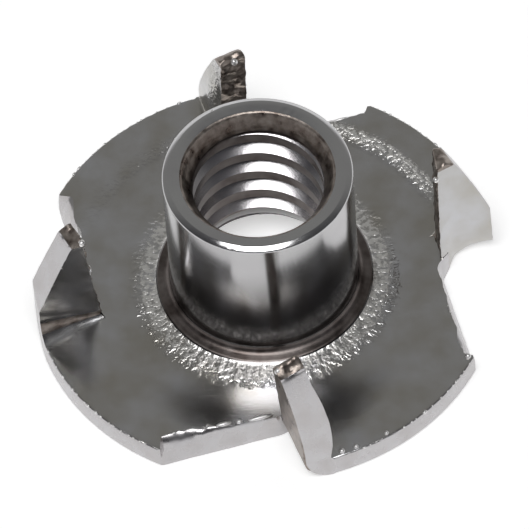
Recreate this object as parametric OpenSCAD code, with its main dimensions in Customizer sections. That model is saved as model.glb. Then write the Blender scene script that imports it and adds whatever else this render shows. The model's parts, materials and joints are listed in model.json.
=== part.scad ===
// Four-prong tee nut, pressed from one piece of sheet steel.
// A drawn barrel stands in the middle of a round flange. Four slits, laid out
// like a pinwheel, free four fins of the flange, and each fin is bent up into a prong.
// The origin is on the bore's axis, in the plane of the flange's underside.

/* [Flange] */
// Diameter of the round flange
flange_d = 19.05; // [17:0.05:24]
// Thickness of the sheet, the same in the flange and in the prongs
sheet_t = 1.1; // [0.9:0.05:1.25]
// Radius of the rolled-over upper corner of the rim
rim_roll_r = 0.22; // [0.1:0.02:0.4]
// Radius of the lower corner of the rim
rim_under_r = 0.1; // [0.05:0.01:0.2]
// Width of the ring pressed flat around the barrel's foot
coin_w = 1.25; // [0.6:0.05:1.8]
// Depth of that pressed ring
coin_depth = 0.06; // [0.02:0.01:0.12]

/* [Barrel] */
// Outside diameter of the barrel
barrel_d = 7.7; // [7.3:0.05:8.1]
// Height of the barrel's lip above the flange's underside
nut_h = 8.2; // [7:0.1:12]
// Radius of the fillet where the barrel leaves the flange
foot_fillet_r = 0.5; // [0.3:0.05:0.6]
// Height of the small step at the fillet's outer edge
foot_step_h = 0.14; // [0.05:0.01:0.25]
// Width of the lip's flat land, with its rounded outer corner
land_w = 0.24; // [0.2:0.01:0.4]
// Radius of the lip's outer corner
lip_r = 0.14; // [0.05:0.01:0.2]

/* [Bore] */
// Diameter of the bore over the crests of its thread
thread_minor_d = 5.3; // [4.9:0.05:5.5]
// Diameter over the thread's roots, which is the size of its screw
thread_major_d = 6.35; // [6:0.05:6.5]
// Clearance round the screw where the thread ends under the lip
mouth_clearance = 0.075; // [0.02:0.005:0.1]
// Depth of the rounded flare between the land and the mouth
flare_depth = 0.42; // [0.2:0.02:0.8]
// Angle of the thread's lead-in cone, from level
lead_in_deg = 40; // [30:1:60]
// Radius of the funnel that the sheet flows round under the bore
funnel_r = 2.4; // [1.6:0.1:2.8]

/* [Slits] */
// Distance from the axis to the inner end of a slit
slit_root_r = 7.18; // [6.9:0.02:7.4]
// Bearing of that inner end, from the first prong's own direction
slit_root_deg = 2.1; // [0:0.1:4]
// Bearing at which the slit meets the rim
slit_rim_deg = -29.9; // [-34:0.1:-25]
// Slope of the sheared face, from upright
shear_deg = 18; // [0:1:25]

/* [Prongs] */
// Number of prongs
prong_n = 4; // [3:1:4]
// Bearing of the bend line, from the first prong's own direction
bend_line_deg = 25.3; // [20:0.1:30]
// Radius on the inside of each bend
bend_in_r = 0.3; // [0.2:0.05:0.6]
// Length of a prong beyond its bend
leg_l = 4.65; // [3.6:0.05:5]
// Width of the blunt tip
tip_w = 0.45; // [0.3:0.05:0.8]
// Distance by which the inner edge drifts outward at the tip
tip_drift = 0.42; // [0:0.02:0.6]
// Radius of the curved outer edge
prong_edge_r = 14; // [9:0.5:40]
// How far each prong is bent past upright, in degrees, counter-clockwise from the first
prong_over_deg = [9.4, -4, -2.3, -5.8]; // [-10:0.1:12]

/* [Hidden] */
$fn = 128;

// Overlap where two solids are joined, and overshoot of a cutter
lap = 0.02;
over = 2;

flange_r = flange_d / 2;
barrel_r = barrel_d / 2;
minor_r = thread_minor_d / 2;
mouth_r = thread_major_d / 2 + mouth_clearance;
land_r = barrel_r - land_w;
foot_r = barrel_r + foot_fillet_r;
coin_r = foot_r + coin_w;
coin_z = sheet_t - coin_depth;
foot_z = sheet_t + foot_step_h;

mouth_z = nut_h - flare_depth;
lead_in_h = (mouth_r - minor_r) * tan(lead_in_deg);
lead_in_z = mouth_z - lead_in_h;

bend_out_r = bend_in_r + sheet_t;

// Plan position of a slit's inner end, and of its meeting with the rim
slit_root = slit_root_r * [cos(slit_root_deg), sin(slit_root_deg)];
slit_rim = flange_r * [cos(slit_rim_deg), sin(slit_rim_deg)];
slit_run = slit_rim - slit_root;
slit_deg = atan2(slit_run[1], slit_run[0]);
slit_l = norm(slit_run);

// The bend starts one outer bend radius back from the slit, along a line at bend_line_deg
along = [cos(bend_line_deg), sin(bend_line_deg)];
back = [-sin(bend_line_deg), cos(bend_line_deg)];
bend_start = slit_root + bend_out_r * back;

// Width of the fin where that line crosses the rim
reach = bend_start * along;
prong_w = sqrt(reach * reach + flange_r * flange_r - bend_start * bend_start) - reach;

// The blank, turned about the axis: flange, barrel, lip, bore and the funnel under it
module blank_section() {
    difference() {
        union() {
            // Flange, with both corners of its rim rounded
            square([flange_r - rim_roll_r, sheet_t]);
            square([flange_r, sheet_t - rim_roll_r]);
            translate([flange_r - rim_roll_r, sheet_t - rim_roll_r]) circle(r = rim_roll_r);
            // Barrel up to its lip
            square([barrel_r, nut_h - lip_r]);
            square([barrel_r - lip_r, nut_h]);
            translate([barrel_r - lip_r, nut_h - lip_r]) circle(r = lip_r);
            // Foot of the barrel, filleted down to a small step
            square([foot_r, foot_z + foot_fillet_r]);
        }
        translate([foot_r, foot_z + foot_fillet_r]) circle(r = foot_fillet_r);
        // Ring pressed round the foot
        translate([foot_r, coin_z]) square([coin_r - foot_r, foot_step_h + coin_depth + lap]);
        // Lower corner of the rim
        difference() {
            translate([flange_r - rim_under_r, -over]) square([over, over + rim_under_r]);
            translate([flange_r - rim_under_r, rim_under_r]) circle(r = rim_under_r);
        }
        bore_section();
    }
}

// Everything the bore takes away, from the funnel underneath to the flare at the lip
module bore_section() {
    translate([-lap, -over]) square([minor_r + lap, nut_h + 2 * over]);
    // Funnel: a square corner less the round that the sheet flows over
    difference() {
        translate([0, -over]) square([minor_r + funnel_r, over + funnel_r]);
        translate([minor_r + funnel_r, funnel_r]) circle(r = funnel_r);
    }
    // Lead-in cone and flare
    polygon([
        [0, lead_in_z], [minor_r, lead_in_z], [mouth_r, mouth_z],
        [land_r, nut_h], [land_r, nut_h + over], [0, nut_h + over]
    ]);
}

// Plan of the opening that a fin leaves, from the slit to the start of its bend
module opening_plan() {
    polygon([
        slit_root,
        slit_root + slit_run * 2,
        slit_root + flange_r * [2, -1],
        bend_start + along * flange_r,
        bend_start
    ]);
}

// Opening for one prong, with the slit's sheared face sloping under its upper edge
module opening() {
    translate([0, 0, -over]) linear_extrude(nut_h + over) opening_plan();
    translate([slit_root[0], slit_root[1], 0])
        rotate([0, 0, slit_deg])
            rotate([shear_deg, 0, 0])
                translate([0, 0, -over]) cube([slit_l + over, over, 2 * over]);
}

// Face of the fin beyond its bend: the inner edge is the slit, the outer edge was the rim
module fin_face() {
    tip_out = [tip_drift + tip_w, leg_l];
    base_out = [prong_w + 2 * lap, 0];
    mid = (tip_out + base_out) / 2;
    chord = tip_out - base_out;
    rise = sqrt(prong_edge_r * prong_edge_r - chord * chord / 4);
    centre = mid + rise * [-chord[1], chord[0]] / norm(chord);
    intersection() {
        polygon([[0, 0], [2 * prong_w, 0], [2 * prong_w, leg_l], [tip_drift, leg_l]]);
        translate(centre) circle(r = prong_edge_r, $fn = 360);
    }
}

// One prong, bent up by 90 degrees plus its own excess. Its inner edge laps the flange
// a little, and its outer edge keeps within the rim's circle.
module prong(over_deg) {
    intersection() {
        translate([bend_start[0], bend_start[1], bend_out_r])
            rotate([0, 0, bend_line_deg])
                translate([-lap, 0, 0]) {
                    mirror([0, 1, 0])
                        rotate([0, 90, 0])
                            rotate_extrude(angle = 90 + over_deg)
                                translate([bend_in_r, 0]) square([sheet_t, prong_w + 2 * lap]);
                    rotate([-over_deg, 0, 0])
                        translate([0, -bend_in_r, -lap])
                            rotate([90, 0, 0])
                                linear_extrude(sheet_t) fin_face();
                }
        cylinder(r = flange_r, h = nut_h);
    }
}

// The whole nut is one solid
module tee_nut() {
    color("silver") {
        difference() {
            rotate_extrude() blank_section();
            for (i = [0 : prong_n - 1]) rotate([0, 0, 360 / prong_n * i]) opening();
        }
        for (i = [0 : prong_n - 1]) rotate([0, 0, 360 / prong_n * i]) prong(prong_over_deg[i]);
    }
}

tee_nut();
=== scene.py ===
import json
import math
import random

import bmesh
import bpy
from mathutils import Matrix, Vector, noise


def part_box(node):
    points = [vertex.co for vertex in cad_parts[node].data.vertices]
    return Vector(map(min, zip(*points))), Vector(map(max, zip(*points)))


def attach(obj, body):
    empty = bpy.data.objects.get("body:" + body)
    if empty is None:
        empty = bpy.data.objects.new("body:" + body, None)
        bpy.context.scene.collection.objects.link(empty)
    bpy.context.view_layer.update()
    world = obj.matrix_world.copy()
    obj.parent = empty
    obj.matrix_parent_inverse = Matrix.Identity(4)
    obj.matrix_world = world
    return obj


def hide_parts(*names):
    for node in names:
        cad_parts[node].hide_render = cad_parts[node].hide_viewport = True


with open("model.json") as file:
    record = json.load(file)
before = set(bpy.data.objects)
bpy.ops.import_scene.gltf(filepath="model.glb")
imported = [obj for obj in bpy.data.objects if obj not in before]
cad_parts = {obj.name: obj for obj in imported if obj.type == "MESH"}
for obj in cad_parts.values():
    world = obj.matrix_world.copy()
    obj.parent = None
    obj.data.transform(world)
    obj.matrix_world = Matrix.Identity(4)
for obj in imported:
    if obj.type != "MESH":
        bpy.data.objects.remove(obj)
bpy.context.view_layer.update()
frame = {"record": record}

# ------------------------------------------------------------------ the blank
# The nut is one disc of low-carbon sheet steel. A press draws the barrel up out of its
# middle, so the underside runs round a funnel into the bore, and flattens the lip on top.
# It is turned here in millimetres, and becomes metres when the nut is finished.
mounts = {mount["name"]: mount for mount in frame["record"]["mounts"]}
nut_low, nut_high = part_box("tee_nut")
nut_h = (nut_high.z - nut_low.z) * 1000
barrel_r = mounts["barrel"]["dims"]["r_mm"]
bore_r = mounts["thread"]["dims"]["r_mm"]
flange_r = 9.525
sheet_t = 1.1
funnel_r = 2.4
foot_r = barrel_r + 0.5
foot_z = sheet_t + 0.14
coin_r = foot_r + 1.25
land_r = barrel_r - 0.24
mouth_r = 3.08
throat_r = 2.78

# The nut's finishes, by their place in its list of materials
satin, drawn, painted_shade, sheared, torn_and_shaded, tapped, beaded = range(7)
finishes = [
    bpy.data.materials.new(name) for name in (
        "satin_flange", "drawn_barrel", "scorched_foot", "sheared_edge", "torn_edge",
        "tapped_thread", "zinc_bead",
    )
]

# Corners of the blank's section: distance out, height, rounding and its segments
blank_section = [
    (bore_r, 0, funnel_r, 18),
    (flange_r, 0, 0.1, 3),
    (flange_r, sheet_t, 0.08, 3),
    (coin_r, sheet_t, 0.15, 3),
    (foot_r + 0.12, sheet_t + 0.05, 0.1, 3),
    (foot_r, foot_z, 0.04, 3),
    (barrel_r, foot_z, 0.38, 8),
    (barrel_r, nut_h - 0.125, 0.06, 4),
    (land_r - 0.03, nut_h + 0.015, 0.05, 4),
    (mouth_r, nut_h - 0.09, 0.07, 4),
    (throat_r, nut_h - 0.56, 0.06, 3),
    (bore_r, nut_h - 0.82, 0.06, 3),
]
# Longest step along the section, and number of steps round the axis
section_step = 0.16
turn_steps = 320


def section_loop(corners):
    """A closed section in the XZ plane, with its corners rounded."""
    bm = bmesh.new()
    face = bm.faces.new([bm.verts.new((out, 0, up)) for out, up, _, _ in corners])
    rounded = [(v, c[2], c[3]) for v, c in zip(list(face.verts), corners) if c[2]]
    for corner, rounding, segments in rounded:
        bmesh.ops.bevel(
            bm, geom=[corner], offset=rounding, segments=segments, profile=0.5,
            affect="VERTICES", material=-1, clamp_overlap=True,
        )
    return bm


bm = section_loop(blank_section)
for side in list(bm.edges):
    cuts = int(side.calc_length() / section_step)
    flat = all(abs(v.co.z) < 1e-4 for v in side.verts)
    upright = all(abs(v.co.x - barrel_r) < 1e-3 or abs(v.co.x - bore_r) < 1e-3 for v in side.verts)
    if cuts and not flat and not upright:
        bmesh.ops.subdivide_edges(bm, edges=[side], cuts=cuts)
bmesh.ops.delete(bm, geom=list(bm.faces), context="FACES_ONLY")
bmesh.ops.spin(
    bm, geom=list(bm.verts) + list(bm.edges), cent=(0, 0, 0), axis=(0, 0, 1),
    angle=math.tau, steps=turn_steps, use_merge=True,
)
bmesh.ops.remove_doubles(bm, verts=bm.verts, dist=1e-4)
bmesh.ops.recalc_face_normals(bm, faces=bm.faces)


def ripple(turn, around, out, seed):
    """Noise on rings about the axis, which closes on itself after a full turn."""
    return noise.noise(Vector((math.cos(turn) * around, math.sin(turn) * around, out + seed)))


# The flange's top sinks in a shallow dish between its beaten ring and the rim
hollow_r, hollow_w, hollow_deep = 6.35, 1.25, 0.12


def hollow(out):
    """How far the flange's top has sunk at a distance out from the axis."""
    return hollow_deep * math.exp(-(((out - hollow_r) / hollow_w) ** 2))


# The ring round the foot is beaten by the die, a faint struck line runs further out, the lip
# is a little uneven, and the blanking die leaves a fine broken burr along the rim's upper edge
beaten_r, beaten_w = 4.95, 0.55
struck_r, struck_w = 7.95, 0.16
for v in bm.verts:
    out = math.hypot(v.co.x, v.co.y)
    turn = math.atan2(v.co.y, v.co.x)
    if v.co.z > 0.9 and foot_r + 0.12 < out < flange_r - 0.02:
        beaten = max(0.0, 1 - abs(out - beaten_r) / beaten_w) ** 0.7
        v.co.z += 0.030 * beaten * ripple(turn, 20, out * 2.2, 1)
        v.co.z += 0.018 * beaten * ripple(turn, 44, out * 5, 4)
        struck = math.exp(-(((out - struck_r) / struck_w) ** 2))
        v.co.z += 0.024 * struck * (0.6 + 0.6 * ripple(turn, 9, 0, 2)) * max(0.15, math.sin(turn))
        v.co.z -= hollow(out)
        v.co.z += 0.010 * noise.noise(Vector((v.co.x * 0.45, v.co.y * 0.45, 8.0)))
    if out > flange_r - 0.2 and v.co.z > sheet_t - 0.12:
        burr = ripple(turn, 21, v.co.z * 2, 3) + 0.6 * ripple(turn, 67, 0, 6)
        v.co.z += 0.03 * burr
        v.co.x *= 1 - 0.0025 * abs(burr)
        v.co.y *= 1 - 0.0025 * abs(burr)
    if v.co.z > nut_h - 0.75 and out < barrel_r - 0.02:
        worn = max(0.0, ripple(turn, 5, out * 3, 11))
        v.co.z -= 0.03 * worn * max(0.0, ripple(turn, 14, out * 6, 12) + 0.3)
# Each finish by where the face lies: painted shade in the corner at the foot and on the bore's
# crests, the darker torn finish as painted shade in the mouth, barrel and funnel, rim
for f in bm.faces:
    middle = f.calc_center_median()
    out = math.hypot(middle.x, middle.y)
    # Painted shade: the corner where the barrel meets the flange is coloured dark
    if barrel_r + 0.03 < out < foot_r + 0.05 and middle.z > sheet_t - 0.06:
        f.material_index = painted_shade
    # Painted shade: the crests inside the bore are coloured dark
    elif out < bore_r + 0.02 and middle.z > 1.2:
        f.material_index = painted_shade
    # Painted shade: the mouth of the bore takes the darker torn finish
    elif out < 3.14 and middle.z > nut_h - 0.9:
        f.material_index = torn_and_shaded
    elif out < foot_r + 0.09 and (middle.z > sheet_t - 0.05 or out < bore_r + 0.9):
        f.material_index = drawn
    elif out > flange_r - 0.06:
        f.material_index = sheared


def solid(name, bm, coats=finishes):
    """A bmesh as an object of the scene, with its materials."""
    mesh = bpy.data.meshes.new(name)
    bm.to_mesh(mesh)
    bm.free()
    for coat in coats:
        mesh.materials.append(coat)
    piece = bpy.data.objects.new(name, mesh)
    bpy.context.scene.collection.objects.link(piece)
    return piece


def press(work, tool, action):
    """Cuts work with tool, or welds tool to it, and leaves one closed mesh."""
    stroke = work.modifiers.new(action, "BOOLEAN")
    stroke.operation, stroke.object, stroke.solver = action, tool, "MANIFOLD"
    bpy.context.view_layer.update()
    shaped = bpy.data.meshes.new_from_object(
        work.evaluated_get(bpy.context.evaluated_depsgraph_get())
    )
    work.modifiers.remove(stroke)
    work.data = shaped
    bpy.data.objects.remove(tool)


nut = solid("tee_nut_steel", bm)

# ------------------------------------------------------------------ the thread
# A right-hand tapped thread with wide, flat crests. The tap's own shape is swept up the
# helix, one pitch at a time, and taken out of the bore through the lead-in and the funnel.
pitch = 1.27
root_r = 3.175
crest_w = 0.505
flank_h = (root_r - bore_r) * math.tan(math.radians(30))
tap_steps = 96
tap_turns = 8
tap_start = 0.30 - pitch

# The tap's body clears the crests, so that only its teeth cut, and it is hollow inside
tap_core_r = 0.5
tap_clear = 0.03
tap_r = bore_r - tap_clear
tooth_w = crest_w / 2 - tap_clear * math.tan(math.radians(30))
tap_corners = [
    (tap_core_r, 0, 0, 0), (tap_r, 0, 0, 0), (tap_r, tooth_w, 0, 0),
    (root_r, crest_w / 2 + flank_h, 0.05, 3), (root_r, pitch - crest_w / 2 - flank_h, 0.05, 3),
    (tap_r, pitch - tooth_w, 0, 0), (tap_r, pitch, 0, 0), (tap_core_r, pitch, 0, 0),
]
bm = section_loop(tap_corners)
bmesh.ops.delete(bm, geom=list(bm.faces), context="FACES_ONLY")
bmesh.ops.delete(bm, geom=[v for v in bm.verts if v.co.x < tap_core_r * 2], context="VERTS")
bmesh.ops.translate(bm, verts=bm.verts, vec=(0, 0, tap_start))
bmesh.ops.spin(
    bm, geom=list(bm.verts) + list(bm.edges), cent=(0, 0, 0), axis=(0, 0, 1),
    dvec=(0, 0, pitch / tap_steps), angle=math.tau * tap_turns, steps=tap_steps * tap_turns,
)
bmesh.ops.remove_doubles(bm, verts=bm.verts, dist=1e-3)
for height, up in ((-0.4, -1), (nut_h - 0.9, 1)):
    bmesh.ops.bisect_plane(
        bm, geom=list(bm.verts) + list(bm.edges) + list(bm.faces),
        plane_co=(0, 0, height), plane_no=(0, 0, up), clear_outer=True,
    )
bmesh.ops.holes_fill(bm, edges=[e for e in bm.edges if e.is_boundary])
bmesh.ops.recalc_face_normals(bm, faces=bm.faces)
for f in bm.faces:
    f.material_index = tapped
press(nut, solid("tap", bm), "DIFFERENCE")

# ------------------------------------------------------------------ the openings
# Four slits are sheared in from the rim, laid out like a pinwheel. Bending the fin behind
# each one leaves an opening, with a rolled upper edge and a torn, uneven lower one.
prong_n = 4
slit_root = Vector((7.175, 0.263))
slit_rim = Vector((8.257, -4.748))
bend_deg = 25.3
along = Vector((math.cos(math.radians(bend_deg)), math.sin(math.radians(bend_deg))))
back = Vector((-along.y, along.x))
bend_out_r = 1.4
bend_start = slit_root + bend_out_r * back
slit_way = (slit_rim - slit_root).normalized()

# Each prong is worn and bent in its own way:
#   over: degrees that it is bent past upright
#   r_root, r_rim: the bend's outer radius at the slit and at the rim
#   leg: its length past the bend
#   push: how far the rim side of its base is pushed out
#   bulge, spread: how much its outer edge bulges and is spread
#   cup: how far its middle is cupped
#   square: how square its bend is at the slit
#   lean: how far its torn edge leans back
#   closed: how far the slit stays closed at its root
#   tip: the width of its tip
#   broken: how far the slit's upper edge breaks back at the rim
#   rough: which of its faces take the darker torn finish, scuffed on the outside and as painted
#       shade in the crease of the bend
prongs = [
    {"over": 9.4, "r_root": 1.16, "r_rim": 1.16, "leg": 4.75, "push": 0.3, "bulge": 0.16,
     "spread": 0.04, "cup": 0.48, "square": 0.95, "lean": 0.42, "closed": 0.45, "tip": 0.72,
     "broken": 1.1, "rough": ()},
    {"over": -4.0, "r_root": 1.16, "r_rim": 1.2, "leg": 4.75, "push": 0.3, "bulge": 0.1,
     "spread": 0.05, "cup": 0.1, "square": 0.3, "lean": 0.1, "closed": 0, "tip": 0.5,
     "broken": 1.2, "rough": ()},
    {"over": -2.3, "r_root": 1.35, "r_rim": 2.1, "leg": 4.65, "push": 0.35, "bulge": 0.14,
     "spread": 0.05, "cup": 0.0, "square": 0.3, "lean": 0.1, "closed": 0, "tip": 0.45,
     "broken": 1.2, "rough": ("bend",)},
    {"over": -5.8, "r_root": 1.16, "r_rim": 1.16, "leg": 4.65, "push": 0.35, "bulge": 0.3,
     "spread": 0.22, "cup": 0.0, "square": 0.3, "lean": 0.1, "closed": 0, "tip": 0.45,
     "broken": 2.1, "rough": ("outside",)},
]
prong_w = 2.82


def bend_shift(prong, bend_r):
    """How much further back the bend starts where its outer radius is bend_r."""
    return math.tan(math.radians(90 + prong["over"]) / 2) * (bend_r - bend_out_r)


def cupped(prong, share):
    """How far back the fin's base is cupped, at a share of the way along its bend line."""
    share = max(0.0, min(1.0, share))
    return prong["cup"] * math.sin(math.pi * share ** 0.8) * min(1.0, share / 0.3)


# Height of each layer of the cutter, and how far the slit's face stands back there
opening_layers = [
    (-0.6, 0.0), (-0.02, 0.0), (0.05, 0.0), (0.18, 0.03), (0.3, 0.06), (0.42, 0.09), (0.54, 0.12),
    (0.66, 0.15), (0.78, 0.19), (0.88, 0.22), (0.97, 0.26), (1.04, 0.3), (1.09, 0.34),
    (1.13, 0.39), (1.18, 0.44), (1.6, 0.47),
]
edge_step = 0.11
# How far past the disc the cutter reaches
cutter_reach = 14

for number, prong in enumerate(prongs):
    root_turn = bend_start + back * bend_shift(prong, prong["r_root"])
    pushed = bend_shift(prong, prong["r_rim"]) - prong["push"]
    rim_turn = bend_start + along * prong_w + back * pushed
    bend_way = (rim_turn - root_turn).normalized()
    plan = [
        slit_root + slit_way * prong["closed"], slit_rim + slit_way * 0.5, slit_rim + slit_way * 6,
        slit_rim + Vector((cutter_reach, -6)), rim_turn + bend_way * cutter_reach,
        rim_turn + bend_way * 0.5,
        root_turn + along * prong["closed"],
    ]
    if prong["closed"]:
        plan.append(slit_root + along * prong["closed"])
    bm = bmesh.new()
    corners = [bm.verts.new((p.x, p.y, 0)) for p in plan]
    bm.faces.new(corners)
    bmesh.ops.bevel(
        bm, geom=[corners[0]], offset=0.12, segments=3, profile=0.5,
        affect="VERTICES", material=-1,
    )
    for side in list(bm.edges):
        if max(v.co.length for v in side.verts) < 11:
            bmesh.ops.subdivide_edges(bm, edges=[side], cuts=int(side.calc_length() / edge_step))
    for v in bm.verts:
        share = (v.co.xy - root_turn).dot(bend_way) / (rim_turn - root_turn).length
        if abs((v.co.xy - root_turn).cross(bend_way)) < 1e-3 and 0 < share < 1:
            v.co += (back * cupped(prong, share)).to_3d()
    top = list(bm.faces)
    for level in range(1, len(opening_layers)):
        grown = bmesh.ops.extrude_face_region(bm, geom=top)
        if level > 1:
            bmesh.ops.delete(bm, geom=top, context="FACES_ONLY")
        top = [g for g in grown["geom"] if isinstance(g, bmesh.types.BMFace)]
        bmesh.ops.translate(
            bm, verts=list(top[0].verts),
            vec=(0, 0, opening_layers[level][0] - opening_layers[level - 1][0]),
        )
    bmesh.ops.translate(bm, verts=bm.verts, vec=(0, 0, opening_layers[0][0]))
    bmesh.ops.recalc_face_normals(bm, faces=bm.faces)
    bm.normal_update()
    moves = []
    for v in bm.verts:
        out = Vector((v.normal.x, v.normal.y, 0)).normalized()
        from_root = v.co.xy - slit_root
        run = from_root.dot(slit_way)
        off_slit = abs(from_root.cross(slit_way))
        near_slit = max(0.0, 1 - off_slit / 0.5) if run > -0.3 else 0.0
        stand_back = min(opening_layers, key=lambda layer: abs(layer[0] - v.co.z))[1]
        stand_back *= 0.8 + (prong["broken"] - 0.8) * max(0.0, run) / 5.1
        stand_back *= 1 - 0.85 * max(0.0, min(1.0, (run - 4.93) / 0.12))
        rag = noise.noise(Vector((v.co.x * 1.9, v.co.y * 1.9, v.co.z * 1.2 + number * 7.3)))
        fine = noise.noise(Vector((v.co.x * 6.1, v.co.y * 6.1, v.co.z * 3 + number * 3.1)))
        chip = max(0.0, v.co.z - 0.55) / 0.55
        rolled = max(0.0, noise.noise(Vector((run * 0.8, number * 5.3, 2.0)))) * 0.3
        stand_back += rolled * max(0.0, v.co.z - 1.0) / 0.12 if v.co.z < 1.15 else rolled * 1.25
        torn_back = (0.01 + 0.05 * chip) * rag + 0.024 * chip * fine
        moves.append((v, out * near_slit * (stand_back + prong["broken"] * torn_back)))
    for v, move in moves:
        v.co += move
    for f in bm.faces:
        f.material_index = sheared
    bmesh.ops.recalc_face_normals(bm, faces=bm.faces)
    bmesh.ops.rotate(
        bm, verts=bm.verts, cent=(0, 0, 0),
        matrix=Matrix.Rotation(math.tau / prong_n * number, 3, "Z"),
    )
    press(nut, solid("opening", bm), "DIFFERENCE")

# ------------------------------------------------------------------ the prongs
# Each fin between a slit and its bend line is folded up past the flange. Its inner edge is
# the sheared slit, its curved outer edge is the disc's own rim, and the tip is blunt.
# How far the tip drifts out, the bend's length, and how far a prong laps into the flange
tip_drift = 0.42
bend_run = 2.0
prong_lap = 0.25
# Steps at which a fin is divided: along it, across it and through its thickness
run_step, out_step, up_step = 0.1, 0.16, 0.1


def fold(number, prong, out, run, up):
    """Where a point of the flat fin goes when it is folded: out along the bend line, run from
    the start of the bend towards the tip, and up through the sheet."""
    beta = math.radians(90 + prong["over"])
    share = max(0.0, min(1.0, out / prong_w))
    r_out = prong["r_root"] + (prong["r_rim"] - prong["r_root"]) * share
    r = r_out - up
    turned = max(0.0, min(1.0, run / bend_run))
    rise = max(0.0, run - bend_run)
    y, z = -r * math.sin(beta * turned), r_out - r * math.cos(beta * turned)
    # The same bend with a square corner
    corner = (-r * math.tan(beta / 2), up)
    end = (-r * math.sin(beta), r_out - r * math.cos(beta))
    if turned < 0.5:
        square = (corner[0] * turned * 2, up)
    else:
        square = tuple(c + (e - c) * (turned * 2 - 1) for c, e in zip(corner, end))
    weight = prong["square"] * (1 - share) ** 1.5
    y, z = y + (square[0] - y) * weight, z + (square[1] - z) * weight
    y += bend_shift(prong, r_out) - min(0.0, run) - rise * math.cos(beta)
    z += rise * math.sin(beta)
    base_back = cupped(prong, share) - prong["push"] * max(0.0, out / prong_w)
    y += base_back * (1 - rise / prong["leg"])
    spot = bend_start + along * out + back * y
    reach_r = flange_r - 0.002 - 0.058 * turned
    if spot.length > reach_r:
        spot = spot.normalized() * reach_r
    z -= hollow(spot.length) * (1 - turned) * up / sheet_t
    return Matrix.Rotation(math.tau / prong_n * number, 3, "Z") @ Vector((spot.x, spot.y, z))


for number, prong in enumerate(prongs):
    reach = bend_run + prong["leg"]
    outline = [
        (0, -prong_lap), (prong_w, -prong_lap), (prong_w, 0), (prong_w, bend_run),
        (tip_drift + prong["tip"], reach), (tip_drift, reach), (0, bend_run), (0, 0),
    ]
    bm = bmesh.new()
    corners = [bm.verts.new((out, run, 0)) for out, run in outline]
    bm.faces.new(corners)
    for corner, rounding in ((corners[3], 0.5), (corners[4], 0.42), (corners[5], 0.2)):
        bmesh.ops.bevel(
            bm, geom=[corner], offset=rounding, segments=5, profile=0.5,
            affect="VERTICES", material=-1,
        )
    grown = bmesh.ops.extrude_face_region(bm, geom=list(bm.faces))
    bmesh.ops.translate(
        bm, verts=[g for g in grown["geom"] if isinstance(g, bmesh.types.BMVert)],
        vec=(0, 0, sheet_t),
    )
    bmesh.ops.recalc_face_normals(bm, faces=bm.faces)
    arrises = [
        e for e in bm.edges
        if abs(e.verts[0].co.z - e.verts[1].co.z) < 1e-6
        and max(v.co.y for v in e.verts) > -prong_lap + 1e-4
    ]
    bmesh.ops.bevel(
        bm, geom=arrises, offset=0.09, segments=3, profile=0.5, affect="EDGES", material=-1,
        clamp_overlap=True,
    )
    cuts = [((0, y * run_step, 0), (0, 1, 0)) for y in range(0, int(reach / run_step) + 1)]
    cuts += [((x * out_step, 0, 0), (1, 0, 0)) for x in range(1, int(prong_w / out_step) + 1)]
    cuts += [((0, 0, up_step + z * up_step), (0, 0, 1)) for z in range(0, 10)]
    for spot, way in cuts:
        bmesh.ops.bisect_plane(
            bm, geom=list(bm.verts) + list(bm.edges) + list(bm.faces),
            plane_co=spot, plane_no=way, dist=1e-4,
        )
    bmesh.ops.remove_doubles(bm, verts=bm.verts, dist=1e-4)
    bm.normal_update()
    for f in bm.faces:
        middle = f.calc_center_median()
        bent = middle.y / bend_run
        if middle.y > -prong_lap + 0.02:
            # The torn finish on the slit side is the sheared steel's own; on the tip its dark
            # colour is also painted shade
            if f.normal.x < -0.5 or middle.y > reach - 0.25:
                f.material_index = torn_and_shaded
            elif abs(f.normal.z) < 0.8:
                f.material_index = sheared
            # Painted shade: a dark line along the crease inside the bend
            elif "bend" in prong["rough"] and f.normal.z > 0.8 and 0.5 < bent < 0.85:
                f.material_index = torn_and_shaded
            elif "outside" in prong["rough"] and f.normal.z < -0.8 and bent > 0.7:
                f.material_index = torn_and_shaded
    for v in bm.verts:
        out, run, up = v.co
        leg = max(0.0, run - bend_run) / prong["leg"]
        inner = tip_drift * leg
        outer = prong_w + (tip_drift + prong["tip"] - prong_w) * leg
        share = max(0.0, min(1.0, (out - inner) / max(outer - inner, 0.1)))
        torn_side = max(0.0, -v.normal.x) ** 2
        tip_side = max(0.0, v.normal.y) ** 2 if leg > 0.9 else 0.0
        rag = noise.noise(Vector((number * 9.1, run * 2.2, up * 1.6)))
        fine = noise.noise(Vector((number * 5.7, run * 6.5, up * 4.5)))
        grain = noise.noise(Vector((number * 3.3, run * 15, up * 12)))
        out += share * prong["bulge"] * 4 * leg * (1 - leg)
        out -= torn_side * (0.12 * rag + 0.07 * fine + 0.03 * grain)
        leaning = prong["lean"] * min(1.0, (outer - inner) / 0.9) * (1 - share) * up / sheet_t
        out += leaning * min(1.0, max(0.0, run))
        run += tip_side * 0.16 * noise.noise(Vector((out * 2.6, up * 2.6, number * 2.3)))
        if run < 0:
            up = sheet_t / 2 + (up - sheet_t / 2) * (1 + run / prong_lap * 0.35)
        else:
            buckle = noise.noise(Vector((out * 2.0, run * 2.0, number * 4.0)))
            up += (0.02 * torn_side + 0.012) * buckle
            swell = prong["spread"] * share ** 6 * math.sin(math.pi * min(1.0, leg * 1.25))
            up += swell * (up / sheet_t)
        v.co = fold(number, prong, out, run, up)
    bmesh.ops.recalc_face_normals(bm, faces=bm.faces)
    if bm.calc_volume(signed=True) < 0:
        bmesh.ops.reverse_faces(bm, faces=bm.faces)
    press(nut, solid("prong", bm), "UNION")

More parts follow.
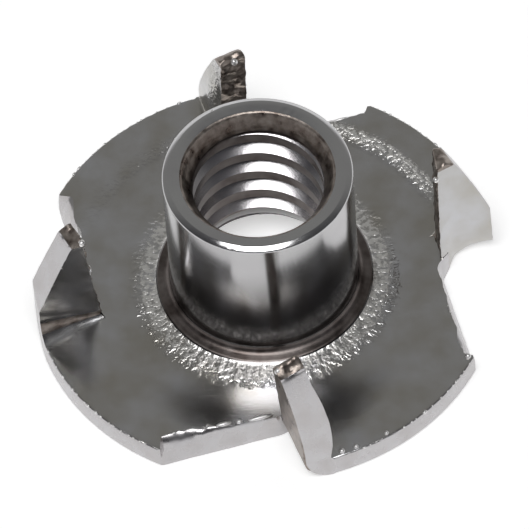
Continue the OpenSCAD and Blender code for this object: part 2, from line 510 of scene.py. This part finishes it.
# ------------------------------------------------------------------ beads of zinc
# Where the plating runs to an edge it hardens in small bright beads. The larger ones sit at
# the roots of the slits and on the prongs' tips, with rolled-over burrs along one slit.
def bead(bm, spot, lie, size):
    """A droplet with the given half length, half width and half height, lying along lie."""
    turn = Vector((1, 0, 0)).rotation_difference(Vector(lie)).to_matrix().to_4x4()
    bmesh.ops.create_icosphere(
        bm, subdivisions=2, radius=1,
        matrix=Matrix.Translation(spot) @ turn @ Matrix.Diagonal((*size, 1)),
    )


beads_bm = bmesh.new()
# Bearings of three beads on the rim, which the fine row leaves room for
rim_beads = (-73.9, -70.2, -61.7)
# Beads by bearing, distance out, height and half size
for bearing, out, height, size in (
    (-3.2, 7.2, 1.1, 0.14), (-30.9, 9.28, 1.1, 0.14), (-167.6, 9.3, 1.1, 0.12),
    (116.6, 3.66, 8.1, 0.1), (rim_beads[0], 9.3, 1.1, 0.13),
    (rim_beads[1], 9.32, 1.1, 0.11), (rim_beads[2], 9.33, 1.1, 0.1),
):
    turn = math.radians(bearing)
    spot = (out * math.cos(turn), out * math.sin(turn), height)
    bead(beads_bm, spot, (0, 1, 0), (size, size, size))
# Beads on the prongs: prong, place across the fin, place along it, place in its thickness
for number, out, run, up, size in (
    (0, 0.32, 6.15, 0.0, 0.13), (1, 0.42, 6.62, 0.5, 0.16),
    (2, 0.5, 6.55, 1.05, 0.15), (3, 0.62, 6.5, 0.1, 0.15),
):
    bead(beads_bm, fold(number, prongs[number], out, run, up), (0, 0, 1), (size, size, size))
# Rolled burrs on the slits: slit, place along it, half length and half width
for number, run, length, width in (
    (3, 2.3, 0.34, 0.1), (3, 1.66, 0.13, 0.08), (3, 0.78, 0.52, 0.09), (3, 4.35, 0.16, 0.06),
    (1, 3.9, 0.3, 0.07), (1, 2.2, 0.2, 0.07), (2, 3.1, 0.35, 0.08), (2, 1.2, 0.18, 0.06),
    (0, 2.6, 0.25, 0.06),
):
    way = Matrix.Rotation(math.tau / prong_n * number, 3, "Z")
    # The slit's upper edge stands back by this much here
    edge_back = 0.34 * (0.8 + (prongs[number]["broken"] - 0.8) * run / 5.1)
    spot = slit_root + slit_way * run + Vector((slit_way.y, -slit_way.x)) * (edge_back + 0.03)
    burr = way @ Vector((spot.x, spot.y, 1.04))
    bead(beads_bm, burr, way @ slit_way.to_3d(), (length, width, width))
# A fine row of them on the rim's upper edge, from one opening to the next
row_r, row_start, row_end = 9.49, 18.5, 58
chance = random.Random(4)
for lobe in range(prong_n):
    bearing = row_start
    while bearing < row_end:
        size = 0.03 + 0.045 * chance.random() ** 3
        turn = math.radians(bearing + 90 * lobe)
        if all(abs(bearing + 90 * lobe - 360 - b) > 1.6 for b in rim_beads):
            bead(
                beads_bm,
                (row_r * math.cos(turn), row_r * math.sin(turn), 1.07 + 0.02 * chance.random()),
                (-math.sin(turn), math.cos(turn), 0),
                (size * (1 + chance.random()), size, size),
            )
        bearing += 1.2 + 2.2 * chance.random()
for f in beads_bm.faces:
    f.material_index = beaded
press(nut, solid("beads", beads_bm), "UNION")

# ------------------------------------------------------------------ the plating
# The nut is zinc plated all over: bright on the flange and barrel, frosted where the die
# beat it, and brown on the torn edges, with painted shade darkening the corner at the foot,
# the bore's crests and mouth, the crease of one prong and the barrel towards its foot. Before
# that it is tumbled clean, so no sliver hangs loose, and nothing stands outside its box.
bm = bmesh.new()
bm.from_mesh(nut.data)
loose = set(bm.verts)
clumps = []
while loose:
    clump, front = set(), {loose.pop()}
    while front:
        clump |= front
        front = {e.other_vert(v) for v in front for e in v.link_edges} & loose
        loose -= front
    clumps.append(clump)
body = max(clumps, key=len)
bmesh.ops.delete(bm, geom=[v for v in bm.verts if v not in body], context="VERTS")
for v in bm.verts:
    for axis in range(3):
        v.co[axis] = max(nut_low[axis] * 1000, min(nut_high[axis] * 1000, v.co[axis]))
# Edges sharper than this stay crisp
crisp_deg = 34
for f in bm.faces:
    f.smooth = True
for e in bm.edges:
    e.smooth = e.calc_face_angle(0) < math.radians(crisp_deg)
bmesh.ops.scale(bm, verts=bm.verts, vec=(0.001, 0.001, 0.001))
bm.to_mesh(nut.data)
bm.free()


def plated_grain():
    """Shader group: grain, clouds, scratches and the die's beaten rings, all in millimetres."""
    group = bpy.data.node_groups.new("plated_grain", "ShaderNodeTree")
    face = group.interface
    face.new_socket("Grain Size", in_out="INPUT", socket_type="NodeSocketFloat").default_value = 12
    face.new_socket("Cloud Size", in_out="INPUT", socket_type="NodeSocketFloat").default_value = 0.7
    for name in ("Grain", "Cloud", "Scratch", "Beaten", "Speck", "Ring", "Low"):
        face.new_socket(name, in_out="OUTPUT", socket_type="NodeSocketFloat")
    nodes, links = group.nodes, group.links
    inlet, outlet = nodes.new("NodeGroupInput"), nodes.new("NodeGroupOutput")
    place = nodes.new("ShaderNodeTexCoord")
    to_mm = nodes.new("ShaderNodeMapping")
    to_mm.inputs["Scale"].default_value = (1000, 1000, 1000)
    links.new(place.outputs["Object"], to_mm.inputs["Vector"])

    def ramp(source, low, high, smooth=False):
        spread = nodes.new("ShaderNodeMapRange")
        spread.interpolation_type = "SMOOTHSTEP" if smooth else "LINEAR"
        spread.inputs["From Min"].default_value = low
        spread.inputs["From Max"].default_value = high
        links.new(source, spread.inputs[0])
        return spread.outputs[0]

    def combine(kind, first, second):
        sum_of = nodes.new("ShaderNodeMath")
        sum_of.operation = kind
        for socket, value in zip(sum_of.inputs, (first, second)):
            if isinstance(value, (int, float)):
                socket.default_value = value
            else:
                links.new(value, socket)
        return sum_of.outputs[0]

    def pattern(vector, scale, detail):
        texture = nodes.new("ShaderNodeTexNoise")
        texture.inputs["Detail"].default_value = detail
        if isinstance(scale, (int, float)):
            texture.inputs["Scale"].default_value = scale
        else:
            links.new(scale, texture.inputs["Scale"])
        links.new(vector, texture.inputs["Vector"])
        return texture.outputs[0]

    grain = pattern(to_mm.outputs[0], inlet.outputs["Grain Size"], 3)
    links.new(ramp(grain, 0.25, 0.75), outlet.inputs["Grain"])
    cloud = pattern(to_mm.outputs[0], inlet.outputs["Cloud Size"], 4)
    links.new(ramp(cloud, 0.3, 0.7), outlet.inputs["Cloud"])
    # Scratches: thin lines where a long, stretched noise passes its middle value
    lines = None
    for turn, stretch in ((0.5, 0.35), (-0.9, 0.5), (1.7, 0.3)):
        lay = nodes.new("ShaderNodeMapping")
        lay.inputs["Rotation"].default_value = (0.2, 0.3, turn)
        lay.inputs["Scale"].default_value = (stretch, 3.4, 1.1)
        links.new(to_mm.outputs[0], lay.inputs["Vector"])
        field = pattern(lay.outputs[0], 1, 2)
        line = combine("ABSOLUTE", combine("SUBTRACT", field, 0.52), 0)
        line = combine("SUBTRACT", 1, ramp(line, 0.0, 0.012))
        lines = line if lines is None else combine("MAXIMUM", lines, line)
    broken = ramp(pattern(to_mm.outputs[0], 1.3, 2), 0.48, 0.6)
    links.new(combine("MULTIPLY", lines, broken), outlet.inputs["Scratch"])
    # Beaten rings: radial streaks round the foot, and a fainter speckled band further out
    flat = nodes.new("ShaderNodeVectorMath")
    flat.operation = "MULTIPLY"
    flat.inputs[1].default_value = (1, 1, 0)
    links.new(to_mm.outputs[0], flat.inputs[0])
    length, way = nodes.new("ShaderNodeVectorMath"), nodes.new("ShaderNodeVectorMath")
    length.operation, way.operation = "LENGTH", "NORMALIZE"
    links.new(flat.outputs[0], length.inputs[0])
    links.new(flat.outputs[0], way.inputs[0])
    out = length.outputs["Value"]
    parts, polar = nodes.new("ShaderNodeSeparateXYZ"), nodes.new("ShaderNodeCombineXYZ")
    links.new(way.outputs[0], parts.inputs[0])
    links.new(combine("MULTIPLY", parts.outputs[0], 26), polar.inputs[0])
    links.new(combine("MULTIPLY", parts.outputs[1], 26), polar.inputs[1])
    links.new(combine("MULTIPLY", out, 2.6), polar.inputs[2])
    streaks = pattern(polar.outputs[0], 1, 3)
    specks = pattern(to_mm.outputs[0], 5.5, 3)
    ragged = combine("ADD", out, combine("MULTIPLY", combine("SUBTRACT", streaks, 0.5), 0.9))
    near = combine("MULTIPLY", ramp(out, 4.34, 4.44, True), ramp(ragged, 5.6, 5.0, True))
    far = combine("MULTIPLY", ramp(out, 7.3, 7.75, True), ramp(out, 8.5, 8.1, True))
    far = combine("MULTIPLY", far, ramp(parts.outputs[1], 0.2, 0.55, True))
    far = combine("MULTIPLY", far, ramp(parts.outputs[0], -1.6, 0.4))
    mixed = combine("ADD", combine("MULTIPLY", streaks, 0.6), combine("MULTIPLY", specks, 0.6))
    beaten = combine("MULTIPLY", near, mixed)
    beaten = combine("ADD", beaten, combine("MULTIPLY", combine("MULTIPLY", far, specks), 1.2))
    links.new(beaten, outlet.inputs["Beaten"])
    links.new(ramp(beaten, 0.54, 0.62), outlet.inputs["Speck"])
    links.new(combine("MAXIMUM", near, far), outlet.inputs["Ring"])
    height = nodes.new("ShaderNodeSeparateXYZ")
    links.new(to_mm.outputs[0], height.inputs[0])
    # Low: rises towards the barrel's foot, and sets how much painted shade darkens it there
    links.new(ramp(height.outputs[2], 6.9, 4.1, True), outlet.inputs["Low"])
    return group


grain_group = plated_grain()


# A painted shade that darkens the barrel towards its foot, and the zinc that speckles the beaten
# rings
painted_low_shade = (0.075, 0.066, 0.062)
bright_zinc = (0.9, 0.885, 0.86)


def finish(number, colours, roughness, bump_um, sizes, darker_low=0.0, frosted=0.0):
    """One finish of the plated steel. Colour and roughness follow the clouds and scratches,
    the relief follows the grain and the beaten rings, darker_low paints shade onto the metal
    towards the barrel's foot, and the beaten rings are frosted and speckled with bright zinc."""
    material = finishes[number]
    material.use_nodes = True
    nodes, links = material.node_tree.nodes, material.node_tree.links
    surface = nodes["Principled BSDF"]
    surface.inputs["Metallic"].default_value = 1
    pattern = nodes.new("ShaderNodeGroup")
    pattern.node_tree = grain_group
    pattern.inputs["Grain Size"].default_value = sizes[0]
    pattern.inputs["Cloud Size"].default_value = sizes[1]
    tint = nodes.new("ShaderNodeMix")
    tint.data_type = "RGBA"
    tint.inputs["A"].default_value = (*colours[0], 1)
    tint.inputs["B"].default_value = (*colours[1], 1)
    links.new(pattern.outputs["Cloud"], tint.inputs["Factor"])
    colour = tint.outputs["Result"]
    # Painted shade: the colour darkens towards a dark brown-grey lower down the barrel
    if darker_low:
        depth = nodes.new("ShaderNodeMath")
        depth.operation = "MULTIPLY"
        depth.inputs[1].default_value = darker_low
        links.new(pattern.outputs["Low"], depth.inputs[0])
        stain = nodes.new("ShaderNodeMix")
        stain.data_type = "RGBA"
        stain.inputs["B"].default_value = (*painted_low_shade, 1)
        links.new(depth.outputs[0], stain.inputs["Factor"])
        links.new(colour, stain.inputs["A"])
        colour = stain.outputs["Result"]
    if frosted:
        speckle = nodes.new("ShaderNodeMix")
        speckle.data_type = "RGBA"
        speckle.inputs["B"].default_value = (*bright_zinc, 1)
        links.new(pattern.outputs["Speck"], speckle.inputs["Factor"])
        links.new(colour, speckle.inputs["A"])
        colour = speckle.outputs["Result"]
    links.new(colour, surface.inputs["Base Color"])
    gloss = nodes.new("ShaderNodeMapRange")
    gloss.inputs["To Min"].default_value, gloss.inputs["To Max"].default_value = roughness
    worn = nodes.new("ShaderNodeMath")
    worn.operation = "MAXIMUM"
    links.new(pattern.outputs["Cloud"], worn.inputs[0])
    links.new(pattern.outputs["Scratch"], worn.inputs[1])
    links.new(worn.outputs[0], gloss.inputs[0])
    roughest = gloss.outputs[0]
    if frosted:
        frost, rougher = nodes.new("ShaderNodeMath"), nodes.new("ShaderNodeMath")
        frost.operation, rougher.operation = "MULTIPLY", "MAXIMUM"
        frost.inputs[1].default_value = frosted
        links.new(pattern.outputs["Ring"], frost.inputs[0])
        links.new(frost.outputs[0], rougher.inputs[0])
        links.new(roughest, rougher.inputs[1])
        roughest = rougher.outputs[0]
    links.new(roughest, surface.inputs["Roughness"])
    normal = None
    for output, micron in zip(("Grain", "Beaten", "Scratch"), bump_um):
        if micron:
            relief = nodes.new("ShaderNodeBump")
            relief.inputs["Strength"].default_value = 1
            relief.inputs["Distance"].default_value = micron * 1e-6
            links.new(pattern.outputs[output], relief.inputs["Height"])
            if normal:
                links.new(normal, relief.inputs["Normal"])
            normal = relief.outputs[0]
    links.new(normal, surface.inputs["Normal"])


# Two colours, two roughnesses, relief of grain, rings and scratches in microns, grain and cloud
finish(
    satin, ((0.48, 0.46, 0.42), (0.61, 0.61, 0.625)), (0.16, 0.23), (0.3, 80, 0.5), (10, 0.6),
    frosted=0.29,
)
# The barrel's colour carries painted shade, darker towards its foot
finish(
    drawn, ((0.53, 0.52, 0.53), (0.58, 0.58, 0.58)), (0.13, 0.18), (0.03, 0, 0.1), (7, 0.4),
    darker_low=0.75,
)
# Painted shade: dark brown-grey for the corner at the foot and the crests in the bore
finish(painted_shade, ((0.09, 0.073, 0.067), (0.22, 0.195, 0.185)), (0.28, 0.42), (2, 0, 0), (8, 1.4))
finish(sheared, ((0.52, 0.5, 0.5), (0.6, 0.59, 0.6)), (0.22, 0.32), (0.5, 0, 0.8), (8, 1.2))
# Torn steel's own dark brown, also used as painted shade at the bore's mouth, the tips and one
# crease
finish(torn_and_shaded, ((0.14, 0.11, 0.095), (0.45, 0.4, 0.36)), (0.26, 0.44), (8, 0, 0), (7, 2.4))
finish(tapped, ((0.54, 0.52, 0.53), (0.68, 0.66, 0.68)), (0.18, 0.26), (0.5, 0, 0.2), (9, 0.9))
finish(beaded, ((0.8, 0.79, 0.78), (0.88, 0.87, 0.87)), (0.34, 0.46), (1, 0, 0), (9, 1.2))

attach(nut, "root")
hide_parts("tee_nut")

# ------------------------------------------------------------------ the studio
# The nut stands on a sheet of matt white paper, under one oval softbox, in a white room
# whose ceiling darkens towards the front. The paper's glow is seen, and mirrored a little
# less brightly, but it lights nothing.
floor_bm = bmesh.new()
bmesh.ops.create_grid(floor_bm, x_segments=1, y_segments=1, size=0.6)
paper_glow, mirrored_share = 0.46, 0.7
paper = bpy.data.materials.new("white_paper")
paper.use_nodes = True
sheet = paper.node_tree.nodes["Principled BSDF"]
sheet.inputs["Base Color"].default_value = (0.92, 0.92, 0.92, 1)
sheet.inputs["Roughness"].default_value = 0.9
sheet.inputs["Emission Color"].default_value = (1, 1, 1, 1)
paper_nodes, paper_links = paper.node_tree.nodes, paper.node_tree.links
light_path = paper_nodes.new("ShaderNodeLightPath")
mirrored, seen, glow = (paper_nodes.new("ShaderNodeMath") for _ in range(3))
mirrored.operation, seen.operation, glow.operation = "MULTIPLY", "MAXIMUM", "MULTIPLY"
mirrored.inputs[1].default_value = mirrored_share
glow.inputs[1].default_value = paper_glow
paper_links.new(light_path.outputs["Is Glossy Ray"], mirrored.inputs[0])
paper_links.new(mirrored.outputs[0], seen.inputs[0])
paper_links.new(light_path.outputs["Is Camera Ray"], seen.inputs[1])
paper_links.new(seen.outputs[0], glow.inputs[0])
paper_links.new(glow.outputs[0], sheet.inputs["Emission Strength"])
floor = solid("floor", floor_bm, [paper])
# A hair below the nut, so that the two surfaces don't coincide
floor.location.z = -0.00001

world = bpy.data.worlds.new("studio")
bpy.context.scene.world = world
world.use_nodes = True
sky = world.node_tree
sky.nodes.clear()
way = sky.nodes.new("ShaderNodeTexCoord")
split = sky.nodes.new("ShaderNodeSeparateXYZ")
height = sky.nodes.new("ShaderNodeMapRange")
depth = sky.nodes.new("ShaderNodeMapRange")
ceiling = sky.nodes.new("ShaderNodeMix")
room = sky.nodes.new("ShaderNodeMix")
shade = sky.nodes.new("ShaderNodeBackground")
out = sky.nodes.new("ShaderNodeOutputWorld")
ceiling.data_type = room.data_type = "RGBA"
for step, low, high in ((height, 0.12, 0.3), (depth, -0.2, 0.55)):
    step.interpolation_type = "SMOOTHSTEP"
    step.inputs["From Min"].default_value, step.inputs["From Max"].default_value = low, high
ceiling.inputs["A"].default_value = (0.06, 0.06, 0.065, 1)
ceiling.inputs["B"].default_value = (0.26, 0.26, 0.255, 1)
room.inputs["A"].default_value = (0.97, 0.97, 0.98, 1)
sky.links.new(way.outputs["Generated"], split.inputs[0])
sky.links.new(split.outputs["Z"], height.inputs[0])
sky.links.new(split.outputs["Y"], depth.inputs[0])
sky.links.new(depth.outputs[0], ceiling.inputs["Factor"])
sky.links.new(height.outputs[0], room.inputs["Factor"])
sky.links.new(ceiling.outputs["Result"], room.inputs["B"])
sky.links.new(room.outputs["Result"], shade.inputs["Color"])
sky.links.new(shade.outputs[0], out.inputs[0])

lamp_data = bpy.data.lights.new("softbox", "AREA")
lamp_data.shape = "ELLIPSE"
lamp_data.size, lamp_data.size_y = 0.42, 0.3
lamp_data.energy = 1.8
lamp = bpy.data.objects.new("softbox", lamp_data)
bpy.context.scene.collection.objects.link(lamp)
lamp_high, lamp_left, lamp_away = math.radians(71.5), math.radians(12), 0.6
lamp_way = Vector((
    -math.cos(lamp_high) * math.sin(lamp_left),
    -math.cos(lamp_high) * math.cos(lamp_left),
    math.sin(lamp_high),
))
lamp.location = lamp_way * lamp_away
lamp.rotation_euler = lamp_way.to_track_quat("Z", "Y").to_euler()

# The camera looks from above and in front, through a long lens, and aims this far up and
# left of the origin in its own view
tilt = math.radians(54.7)
roll = math.radians(-4.2)
camera_away, aim_up, aim_left = 0.36, 0.001056, 0.0000573
ahead = Vector((0, math.cos(tilt), -math.sin(tilt)))
right = Vector((1, 0, 0))
up = Vector((0, math.sin(tilt), math.cos(tilt)))
right, up = (
    right * math.cos(roll) + up * math.sin(roll),
    up * math.cos(roll) - right * math.sin(roll),
)
camera_data = bpy.data.cameras.new("camera")
camera_data.lens = 599
camera_data.sensor_width = 36
camera_data.clip_start = 0.01
camera = bpy.data.objects.new("camera", camera_data)
bpy.context.scene.collection.objects.link(camera)
camera.matrix_world = Matrix.Translation(
    -ahead * camera_away + up * aim_up - right * aim_left
) @ Matrix((right, up, -ahead)).transposed().to_4x4()
bpy.context.scene.camera = camera
bpy.context.scene.view_settings.view_transform = "Standard"
